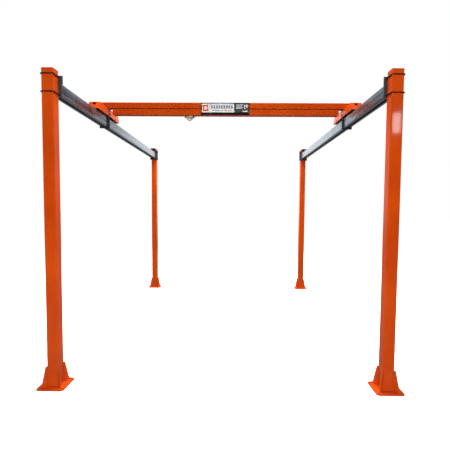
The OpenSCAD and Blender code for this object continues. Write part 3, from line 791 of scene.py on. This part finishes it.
class CRANE_OT_foot_welds(bpy.types.Operator):
    """Welds each post and its gussets to the base plate"""

    bl_idname = "crane.foot_welds"
    bl_label = "Foot Welds"

    def execute(self, context):
        sizes = settings()
        for corner in CORNERS:
            beads = self.foot(corner, sizes)
            deliver(gather(beads), f"foot_welds_{corner}", "frame", ORANGE, crease=80.0)
        return {"FINISHED"}

    def foot(self, corner, sizes):
        """The beads round one post and along its gussets."""
        low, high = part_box(f"column_{corner}")
        middle, half = (low + high) / 2, (high.x - low.x) / 2
        middle.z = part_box(f"base_plate_{corner}")[1].z
        reach = half - sizes.post_radius - sizes.edge
        beads = []
        for quarter in range(4):
            turn = Matrix.Rotation(quarter * math.pi / 2, 3, "Z")
            start, stop = (middle + turn @ Vector((half, side * reach, 0)) for side in (-1, 1))
            beads.append(self.bead(start, stop, sizes.weld))
        for gusset_low, gusset_high in solids_of(f"gussets_{corner}"):
            beads += self.gusset(gusset_low, gusset_high, middle, half, sizes)
        return beads

    def gusset(self, low, high, middle, half, sizes):
        """Four beads on one diagonal gusset: on both sides, along the plate and up the post."""
        away = (low + high) / 2 - middle
        out = Vector((math.copysign(1, away.x), math.copysign(1, away.y), 0)).normalized()
        side = Vector((-out.y, out.x, 0))
        post_corner = half * math.sqrt(2) - sizes.post_radius * (math.sqrt(2) - 1)
        box = [Vector((x, y, middle.z)) for x in (low.x, high.x) for y in (low.y, high.y)]
        toe = max((spot - middle).dot(out) for spot in box) - sizes.gusset / 2
        beads = []
        for way in (-1, 1):
            root = Vector((middle.x, middle.y, low.z)) + side * way * sizes.gusset / 2
            inner, outer = root + out * (post_corner + 2 * MM), root + out * (toe - 3 * MM)
            beads.append(self.bead(inner, outer, sizes.weld * 0.8))
            top = Vector((inner.x, inner.y, high.z - 3 * MM))
            beads.append(self.bead(inner + Vector((0, 0, 2 * MM)), top, sizes.weld * 0.8))
        return beads

    def bead(self, start, end, radius):
        """A fillet weld from start to end, its surface rippled like stacked coins that lean back."""
        line, ripple = end - start, settings().ripple
        steps = max(4, round(line.length / (ripple / 4)))
        bm = bmesh.new()
        bmesh.ops.create_circle(bm, segments=10, radius=1.0)
        bmesh.ops.spin(
            bm, geom=bm.verts[:] + bm.edges[:], dvec=(0, 0, line.length / steps), angle=0.0, steps=steps,
            axis=(0, 0, 1), cent=(0, 0, 0),
        )
        for vert in bm.verts:
            heading, height = math.atan2(vert.co.y, vert.co.x), vert.co.z
            lean = (height - 0.30 * radius * math.cos(heading)) / ripple
            swell = 0.90 + 0.10 * abs(math.cos(math.pi * lean)) + 0.03 * math.sin(height * 210.0)
            taper = max(0.0, min(1.0, height / radius, (line.length - height) / radius))
            reach = radius * swell * (0.35 + 0.65 * math.sqrt(taper))
            vert.co = Vector((reach * math.cos(heading), reach * math.sin(heading), height))
        bmesh.ops.holes_fill(bm, edges=[e for e in bm.edges if e.is_boundary])
        bmesh.ops.transform(bm, matrix=facing(start, line), verts=bm.verts[:])
        return bm


# ---- Runway supports ----


class CRANE_OT_brackets(bpy.types.Operator):
    """Cuts the runway brackets, with every edge rounded"""

    bl_idname = "crane.brackets"
    bl_label = "Runway Brackets"

    def execute(self, context):
        for corner in CORNERS:
            rounded(f"bracket_{corner}", settings().edge, f"runway_bracket_{corner}", "frame", BRACKET)
        return {"FINISHED"}


class CRANE_OT_u_bolts(bpy.types.Operator):
    """Bends the square U-bolts and adds their washers and nuts"""

    bl_idname = "crane.u_bolts"
    bl_label = "U-bolts"

    def execute(self, context):
        sizes = settings()
        for corner in CORNERS:
            node = f"u_bolts_{corner}"
            end = -1 if corner.startswith("front") else 1
            deliver(fill(node, self.bar, end, sizes), f"u_bolt_pair_{corner}", "frame", BLACK, [node])
        washers = fill("u_bolt_washers", collar, Y, sizes.u_bar + 0.6 * MM)
        deliver(washers, "u_bolt_washer_set", "frame", BLACK, ["u_bolt_washers"])
        nuts = fill("u_bolt_nuts", nut, Y, sizes.u_bar)
        deliver(nuts, "u_bolt_nut_set", "frame", BLACK, ["u_bolt_nuts"])
        return {"FINISHED"}

    def bar(self, low, high, end, sizes):
        """One U, from a leg's threaded tip round the post and back."""
        radius, threaded = sizes.u_bar / 2, sizes.u_thread
        bend = sizes.post_radius + radius
        half, reach = (high.x - low.x) / 2 - radius, high.y - low.y
        plain = reach - radius - bend - threaded
        steps = 4 * round(threaded / PITCH)
        bm = bmesh.new()
        tip = Matrix.Translation((-half, reach, 0)) @ Matrix.Rotation(math.pi / 2, 4, "X")
        bmesh.ops.create_circle(bm, segments=16, radius=radius, matrix=tip)
        ring = self.run(bm, bm.verts[:] + bm.edges[:], (0, -threaded, 0), steps)
        ring = self.run(bm, ring, (0, -plain, 0), 1)
        ring = self.turn(bm, ring, (bend - half, bend + radius, 0))
        ring = self.run(bm, ring, (2 * (half - bend), 0, 0), 1)
        ring = self.turn(bm, ring, (half - bend, bend + radius, 0))
        ring = self.run(bm, ring, (0, plain, 0), 1)
        self.run(bm, ring, (0, threaded, 0), steps)
        self.cut_thread(bm, half, reach, threaded, radius)
        bmesh.ops.holes_fill(bm, edges=[e for e in bm.edges if e.is_boundary])
        start = Vector(((low.x + high.x) / 2, low.y if end < 0 else high.y, (low.z + high.z) / 2))
        flip = Matrix.Diagonal((1, -end, 1, 1))
        bmesh.ops.transform(bm, matrix=Matrix.Translation(start) @ flip, verts=bm.verts[:])
        return bm

    def run(self, bm, ring, travel, steps):
        """Draws the bar out straight."""
        return bmesh.ops.spin(
            bm, geom=ring, dvec=Vector(travel) / steps, angle=0.0, steps=steps, axis=(0, 0, 1), cent=(0, 0, 0)
        )["geom_last"]

    def turn(self, bm, ring, centre):
        """Bends the bar round a corner."""
        return bmesh.ops.spin(
            bm, geom=ring, angle=math.pi / 2, steps=8, axis=(0, 0, 1), cent=centre, dvec=(0, 0, 0)
        )["geom_last"]

    def cut_thread(self, bm, half, reach, threaded, radius):
        """Cuts a thread in both legs and chamfers their tips."""
        for vert in bm.verts:
            along = reach - vert.co.y
            if along > threaded - PITCH:
                continue
            centre = math.copysign(half, vert.co.x)
            heading = math.atan2(vert.co.z, vert.co.x - centre)
            size = radius * 0.80 if along < 0.8 * MM else thread_reach(radius, along, heading)
            vert.co.x = centre + size * math.cos(heading)
            vert.co.z = size * math.sin(heading)


class CRANE_OT_runways(bpy.types.Operator):
    """Rolls the two slotted runways and bolts them to their seats"""

    bl_idname = "crane.runways"
    bl_label = "Runways"

    def execute(self, context):
        sizes = settings()
        for side in SIDES:
            low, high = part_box(f"runway_{side}")
            radius, wall = sizes.runway_radius, sizes.runway_wall
            rail = section(low, high, Y, radius, wall, slot=sizes.runway_slot, lip=sizes.fine_edge)
            deliver(rail, f"runway_rail_{side}", "frame", GALVANISED, [f"runway_{side}"])
        deliver(fill("seat_bolts", bolt, Z, -1), "seat_bolt_set", "frame", BLACK, ["seat_bolts"])
        rounded("seat_nut_plates", sizes.fine_edge, "seat_nut_plate_set", "frame", ZINC)
        return {"FINISHED"}


class CRANE_OT_end_stops(bpy.types.Operator):
    """Rounds the edges of the end stops and bolts them on the runways"""

    bl_idname = "crane.end_stops"
    bl_label = "End Stops"

    def execute(self, context):
        rounded("end_stops", settings().edge, "end_stop_set", "frame", BLACK)
        fasteners = fill("end_stop_bolts", bolt_or_nut, Z, 1)
        deliver(fasteners, "end_stop_bolt_set", "frame", BLACK, ["end_stop_bolts"])
        return {"FINISHED"}


# ---- Bridge ----


class CRANE_OT_bridge(bpy.types.Operator):
    """Rolls the beam and the slotted track below it, closes the beam's ends and sets stop blocks in the track
    """

    bl_idname = "crane.bridge"
    bl_label = "Bridge Beam and Track"

    def execute(self, context):
        sizes = settings()
        radius, wall = sizes.beam_radius, sizes.beam_wall
        beam_low, beam_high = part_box("bridge_beam")
        joint, groove = beam_low.z, radius * 0.6
        beam = section(beam_low, beam_high, X, radius, wall)
        # Painted shade and dirt along the groove where the beam sits on the track
        mark_seam_shade_and_dirt(beam, joint, groove)
        deliver(beam, "bridge_top_beam", "bridge", ORANGE, ["bridge_beam"])
        track = section(*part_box("bridge_track"), X, radius, wall, slot=sizes.track_slot, lip=sizes.fine_edge)
        mark_seam_shade_and_dirt(track, joint, groove)
        deliver(track, "bridge_lower_track", "bridge", ORANGE, ["bridge_track"])
        caps = []
        tuck = Vector((0, 1, 1)) * (wall + 0.3 * MM)
        for low, high in solids_of("beam_end_caps"):
            right = high.x > beam_high.x
            face = beam_high.x if right else beam_low.x
            plate, plug = ((face, high.x), (low.x, face)) if right else ((low.x, face), (face, high.x))
            plate_low, plate_high = self.span(plate, beam_low, beam_high)
            caps.append(block(plate_low, plate_high, X, radius, rim=sizes.edge))
            plug_low, plug_high = self.span(plug, beam_low, beam_high)
            caps.append(block(plug_low + tuck, plug_high - tuck, X, radius - wall))
        deliver(gather(caps), "beam_end_cap_pair", "bridge", ORANGE, ["beam_end_caps"])
        blocks = fill("trolley_stops", block, X, radius - wall, 2.0 * MM)
        deliver(blocks, "track_stop_pair", "bridge", ("black_steel", "rubber"), ["trolley_stops"])
        return {"FINISHED"}

    def span(self, reach, low, high):
        """Corners of a stretch of the beam."""
        return Vector((reach[0], low.y, low.z)), Vector((reach[1], high.y, high.z))


class CRANE_OT_end_trucks(bpy.types.Operator):
    """Rounds the edges of the two end trucks and fits their axles, spacers and retainers"""

    bl_idname = "crane.end_trucks"
    bl_label = "End Trucks"

    def execute(self, context):
        sizes = settings()
        for side in SIDES:
            rounded(f"end_truck_{side}", sizes.edge, f"truck_{side}", "bridge", ORANGE)
            rounded(f"retainer_{side}", sizes.edge, f"truck_retainer_{side}", "bridge", BLACK)
        axles = fill("truck_axles", self.axle, sizes.truck_axle / 2)
        deliver(axles, "truck_axle_set", "bridge", ZINC, ["truck_axles"])
        spacers = fill("wheel_spacers", collar, X, sizes.truck_axle + 0.2 * MM)
        deliver(spacers, "wheel_spacer_set", "bridge", ZINC, ["wheel_spacers"])
        bolts = []
        for low, high in solids_of("retainer_bolts"):
            middle = (low + high) / 2
            truck = "left" if middle.x < 0 else "right"
            truck_low, truck_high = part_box(f"end_truck_{truck}")
            bolts.append(bolt(low, high, X, 1 if middle.x > (truck_low.x + truck_high.x) / 2 else -1))
        deliver(gather(bolts), "retainer_bolt_set", "bridge", BLACK, ["retainer_bolts"])
        deliver(fill("retainer_nuts", nut, X), "retainer_nut_set", "bridge", BLACK, ["retainer_nuts"])
        return {"FINISHED"}

    def axle(self, low, high, radius, head=4.0 * MM):
        """An axle with a head at each end."""
        reach, outer, rim = (high.x - low.x) / 2, (high.z - low.z) / 2, 1.0 * MM
        half = [(reach, outer * 0.35), (reach, outer - rim), (reach - rim, outer)]
        half += [(reach - head, outer), (reach - head, radius)]
        return lathed(low, high, X, half, 32)


class CRANE_OT_angles(bpy.types.Operator):
    """Cuts the angles that hold the beam on the trucks, and bolts them"""

    bl_idname = "crane.angles"
    bl_label = "Bridge Angles"

    def execute(self, context):
        for side in SIDES:
            rounded(f"bridge_angles_{side}", settings().edge, f"beam_angle_pair_{side}", "bridge", ORANGE)
        bolts, nuts = fill("angle_bolts", self.through_bolt), fill("angle_nuts", self.through_nut)
        deliver(bolts, "angle_bolt_set", "bridge", ZINC, ["angle_bolts"])
        deliver(nuts, "angle_nut_set", "bridge", ZINC, ["angle_nuts"])
        return {"FINISHED"}

    def through_bolt(self, low, high):
        """A bolt down through the truck or back through the beam, along its longer side."""
        upright = high.z - low.z > high.y - low.y
        return bolt(low, high, Z, 1) if upright else bolt(low, high, Y, -1)

    def through_nut(self, low, high):
        """A nut on such a bolt, along its shorter side."""
        upright = high.z - low.z < high.y - low.y
        return nut(low, high, Z if upright else Y)


class CRANE_OT_sign(bpy.types.Operator):
    """Rivets the sign to the beam and prints plain shapes on it"""

    bl_idname = "crane.sign"
    bl_label = "Sign"

    def execute(self, context):
        sizes = settings()
        rounded("sign_plate", sizes.fine_edge, "sign_back", "bridge", ("sign_panel", "sign_black"))
        low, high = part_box("sign_plate")
        depth, width, height = sizes.print_depth, high.x - low.x, high.z - low.z

        def patch(left, bottom, right, top, layer=2, corner=1.2 * MM):
            """A printed patch, in shares of the sign's width and height from its lower left corner."""
            start = Vector((low.x + left * width, low.y - layer * depth, low.z + bottom * height))
            stop = Vector((low.x + right * width, low.y - (layer - 1) * depth, low.z + top * height))
            return block(start, stop, Y, corner, steps=4)

        grey = [patch(0.205 + 0.0516 * step, 0.52, 0.240 + 0.0516 * step, 0.80) for step in range(9)]
        small_bars = ((0.235, 0.385), (0.405, 0.455), (0.555, 0.625))
        grey += [patch(left, 0.335, right, 0.385) for left, right in small_bars]
        light = []
        for row in range(4):
            drop, right = 0.095 * row, 0.875 - 0.03 * (row % 2)
            light.append(patch(0.722, 0.80 - drop, right, 0.845 - drop))
        light += [patch(0.895, 0.50, 0.915, 0.845), patch(0.93, 0.62, 0.965, 0.845)]
        light += [patch(0.86, 0.255, 0.965, 0.345), patch(0.062, 0.43, 0.122, 0.70, 3, 3 * MM)]
        prints = {
            "sign_pale_panel": ("sign_white", [patch(0.016, 0.20, 0.686, 0.925, 1, 3 * MM)]),
            "sign_slate_panel": ("sign_slate", [patch(0.702, 0.20, 0.984, 0.925, 1, 3 * MM)]),
            "sign_grey_bars": ("sign_grey", grey),
            "sign_light_bars": ("sign_white", light),
            "sign_tile": (
                "sign_accent", [patch(0.034, 0.30, 0.150, 0.83, 2, 7 * MM), patch(0.475, 0.335, 0.535, 0.385)]
            ),
        }
        for name, (finish, shapes) in prints.items():
            deliver(gather(shapes), name, "bridge", ("sign_panel", finish))
        deliver(fill("sign_rivets", self.rivet), "sign_rivet_set", "bridge", ZINC, ["sign_rivets"])
        return {"FINISHED"}

    def rivet(self, low, high, head=1.5 * MM):
        """A rivet with a low dome."""
        radius = (high.x - low.x) / 2
        dome = [(head - (high.y - low.y), radius / 2), (0.0, radius / 2), (0.0, radius)]
        for step in range(1, 5):
            lift = math.radians(18 * step)
            dome.append((head * math.sin(lift), radius * math.cos(lift)))
        return stack(dome, aim(low, high, Y, -1, head), 16)


# ---- Wheels and trolley ----


class CRANE_OT_truck_wheels(bpy.types.Operator):
    """Turns the four truck wheels, with a dished side and a hub"""

    bl_idname = "crane.truck_wheels"
    bl_label = "Truck Wheels"

    def execute(self, context):
        bore = settings().truck_bore / 2
        for side, end in PLACES:
            node = f"truck_wheel_{side}_{end}"
            low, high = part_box(node)
            radius, half = (high.z - low.z) / 2, (high.x - low.x) / 2
            dish = half - half / 3
            face = [
                (half - 0.6 * MM, bore), (half, bore + 0.6 * MM), (half, bore + 5.4 * MM),
                (half - 0.6 * MM, bore + 6.0 * MM), (dish, bore + 8.0 * MM), (dish, radius - 10.5 * MM),
                (half - 0.6 * MM, radius - 8.4 * MM), (half, radius - 7.6 * MM), (half, radius - 3.4 * MM),
                (half - 0.9 * MM, radius - 1.2 * MM), (half - 3.2 * MM, radius),
            ]
            wheel = lathed(low, high, X, face, 64, bored=True)
            deliver(wheel, f"roller_{side}_{end}", node, ("wheel_polymer", "nylon"), [node])
        return {"FINISHED"}


class CRANE_OT_trolley(bpy.types.Operator):
    """Cuts the trolley's plates and fits its axles, bolts and wheels"""

    bl_idname = "crane.trolley"
    bl_label = "Trolley"

    def execute(self, context):
        sizes = settings()
        plates = {
            "trolley_hanger": "hanger_plate",
            "load_plate_front": "load_cheek_front",
            "load_plate_rear": "load_cheek_rear",
        }
        for node, name in plates.items():
            rounded(node, sizes.fine_edge, name, "trolley", ("beige_paint", "beige_enamel"))
        axles = fill("trolley_axles", self.axle, sizes.trolley_axle / 2)
        deliver(axles, "trolley_axle_pair", "trolley", ZINC, ["trolley_axles"])
        fasteners = fill("trolley_bolts", bolt_or_nut, Y, -1)
        deliver(fasteners, "trolley_bolt_set", "trolley", BLACK, ["trolley_bolts"])
        for side, end in PLACES:
            node = f"trolley_wheel_{side}_{end}"
            wheel = self.wheel(*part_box(node), sizes.trolley_bore / 2)
            deliver(wheel, f"trolley_roller_{side}_{end}", node, ("wheel_steel", "turned_steel"), [node])
        return {"FINISHED"}

    def axle(self, low, high, radius, head=1.5 * MM, rim=0.5 * MM):
        """An axle with a low head at each end."""
        reach, outer = (high.y - low.y) / 2, (high.z - low.z) / 2
        half = [(reach, outer - rim), (reach - rim, outer), (reach - head, outer), (reach - head, radius)]
        return lathed(low, high, Y, half, 32)

    def wheel(self, low, high, bore):
        """A turned wheel with a hub, a shallow groove and a rim on each side."""
        radius, half = (high.z - low.z) / 2, (high.y - low.y) / 2
        face = [
            (half - 0.3 * MM, bore), (half, bore + 0.3 * MM), (half, bore + 3.0 * MM),
            (half - 1.2 * MM, bore + 3.6 * MM), (half - 1.2 * MM, radius - 4.6 * MM),
            (half, radius - 4.0 * MM), (half, radius - 1.2 * MM), (half - 1.2 * MM, radius),
        ]
        return lathed(low, high, Y, face, 48, bored=True)


# ---- Stage ----


class CRANE_OT_stage(bpy.types.Operator):
    """Lays the pale floor and sets the soft lights, the surroundings and the camera"""

    bl_idname = "crane.stage"
    bl_label = "Studio"

    def execute(self, context):
        studio = context.scene.crane_studio
        self.floor(studio)
        self.surroundings()
        low, high = CAD_BOX
        middle, top = (low.y + high.y) / 2, high.z
        front, back, side = low.y, high.y, high.x
        # Each lamp has a place, a target and a size, in metres
        self.lamp("top", (0, middle + 0.8, top + 3.4), (0, middle, 0), (3.4, 5.0), studio.top_light)
        self.lamp("front", (0, front - 6.0, 1.9), (0, front, 1.3), (2.6, 3.0), studio.front_light)
        self.lamp("low", (0, front - 2.2, 1.0), (0, front, 0.8), (1.0, 1.6), studio.low_light)
        for way in (-1, 1):
            spot, target = (way * (side + 5.0), front - 2.5, top + 1.0), (way * side, 0, 1.4)
            self.lamp(f"side_{way}", spot, target, (0.7, 3.4), studio.side_light, glare=True)
            spot, target = (way * (side + 4.5), middle + 1.6, 2.4), (0, middle, 1.3)
            self.lamp(f"fill_{way}", spot, target, (3.0, 3.0), studio.fill_light)
        spot, target = (side + 1.9, front - 4.5, top + 0.55), (side, front, 2.2)
        self.lamp("window", spot, target, (0.2, 0.4), studio.window_light, glare=True)
        self.lamp("back", (0, back + 6.5, 3.2), (0, 0, 1.8), (5.0, 3.4), studio.back_light)
        self.camera(studio)
        context.scene.view_settings.view_transform = "Standard"
        return {"FINISHED"}

    def floor(self, studio):
        """A wide pale disc just below the base plates."""
        bm = bmesh.new()
        bmesh.ops.create_circle(bm, cap_ends=True, segments=64, radius=FLOOR_RADIUS)
        bmesh.ops.translate(bm, vec=(0, 0, CAD_BOX[0].z - FLOOR_GAP), verts=bm.verts[:])
        mesh = bpy.data.meshes.new("floor")
        bm.to_mesh(mesh)
        bm.free()
        floor = bpy.data.objects.new("floor", mesh)
        skin = bpy.data.materials.new("floor")
        pale_floor(Finish(skin), tuple(studio.floor_colour))
        mesh.materials.append(skin)
        bpy.context.scene.collection.objects.link(floor)
        floor.visible_glossy = False
        floor.visible_diffuse = False

    def surroundings(self):
        """White behind the object, and a dimmer room with a bright far end for its light and reflections."""
        world = bpy.data.worlds.new("studio")
        bpy.context.scene.world = world
        room = Finish(world)
        where = room.add("ShaderNodeTexCoord", output="Generated")
        up = room.axis(where, "Z")  # 1 straight up
        along = room.axis(where, "Y")  # 1 straight behind the crane
        far_end = along.between(0.915, 0.95) * up.between(-0.10, 0.0)
        sky = up.between(0.10, 0.85)
        ground = (0.0 - up).between(0.02, 0.25)
        level = 0.035 + sky * 0.20 + ground * 0.20 + far_end * 1.8
        seen = room.add("ShaderNodeLightPath", output="Is Camera Ray")
        strength = seen + (1.0 - seen) * level
        glow = room.add("ShaderNodeBackground", {}, {"Color": (1.0, 1.0, 1.0, 1.0), "Strength": strength})
        room.add("ShaderNodeOutputWorld", {}, {"Surface": glow})

    def lamp(self, name, spot, target, size, power, glare=False):
        """A rectangular light that faces a target. Only one with glare shows in glossy surfaces."""
        light = bpy.data.lights.new(f"{name}_light", "AREA")
        light.shape = "RECTANGLE"
        light.size, light.size_y = size
        light.energy = power
        lamp = bpy.data.objects.new(light.name, light)
        lamp.location = spot
        lamp.rotation_mode = "QUATERNION"
        lamp.rotation_quaternion = (Vector(target) - Vector(spot)).to_track_quat("-Z", "Y")
        lamp.visible_camera = False
        lamp.visible_glossy = glare
        bpy.context.scene.collection.objects.link(lamp)

    def camera(self, studio):
        """A camera in front of the posts, turned by its yaw, pitch and roll."""
        post_low, post_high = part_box("column_front_left")
        front_posts = (post_low.y + post_high.y) / 2
        view = bpy.data.cameras.new("view")
        view.sensor_width = 36.0
        view.lens = studio.lens
        view.shift_x, view.shift_y = studio.shift_x, studio.shift_y
        view.clip_end = 200.0
        camera = bpy.data.objects.new("view", view)
        bpy.context.scene.collection.objects.link(camera)
        yaw, pitch, roll = studio.yaw, studio.pitch, studio.roll
        ahead = Vector((math.sin(yaw) * math.cos(pitch), math.cos(yaw) * math.cos(pitch), math.sin(pitch)))
        level = Vector((math.cos(yaw), -math.sin(yaw), 0))
        above = level.cross(ahead)
        right = level * math.cos(roll) + above * math.sin(roll)
        above = above * math.cos(roll) - level * math.sin(roll)
        turn = Matrix((right, above, -ahead)).transposed()
        spot = Vector((studio.camera_x, front_posts - studio.camera_back, studio.camera_height))
        camera.matrix_world = Matrix.Translation(spot) @ turn.to_4x4()
        bpy.context.scene.camera = camera


# ---- Panel and registration ----

PIECES = (
    CRANE_OT_posts, CRANE_OT_feet, CRANE_OT_foot_welds, CRANE_OT_brackets, CRANE_OT_u_bolts, CRANE_OT_runways,
    CRANE_OT_end_stops, CRANE_OT_bridge, CRANE_OT_end_trucks, CRANE_OT_angles, CRANE_OT_sign,
    CRANE_OT_truck_wheels, CRANE_OT_trolley, CRANE_OT_stage,
)


class CRANE_PT_builder(bpy.types.Panel):
    """Lists the crane's pieces and their settings"""

    bl_idname = "CRANE_PT_builder"
    bl_label = "Bridge Crane"
    bl_space_type = "VIEW_3D"
    bl_region_type = "UI"
    bl_category = "Crane"

    def draw(self, context):
        for piece in PIECES:
            self.layout.operator(piece.bl_idname)
        for group in (context.scene.crane_sizes, context.scene.crane_colours, context.scene.crane_studio):
            box = self.layout.box()
            for key in group.bl_rna.properties.keys():
                if key not in ("rna_type", "name"):
                    box.prop(group, key)


GROUPS = {"crane_sizes": CraneSizes, "crane_colours": CraneColours, "crane_studio": CraneStudio}


def register():
    for group in GROUPS.values():
        bpy.utils.register_class(group)
    for name, group in GROUPS.items():
        setattr(bpy.types.Scene, name, PointerProperty(type=group))
    for piece in (*PIECES, CRANE_PT_builder):
        bpy.utils.register_class(piece)


def unregister():
    for piece in reversed((*PIECES, CRANE_PT_builder)):
        bpy.utils.unregister_class(piece)
    for name, group in GROUPS.items():
        delattr(bpy.types.Scene, name)
        bpy.utils.unregister_class(group)


def main():
    register()
    for piece in PIECES:
        category, verb = piece.bl_idname.split(".")
        getattr(getattr(bpy.ops, category), verb)()


if __name__ == "__main__":
    main()
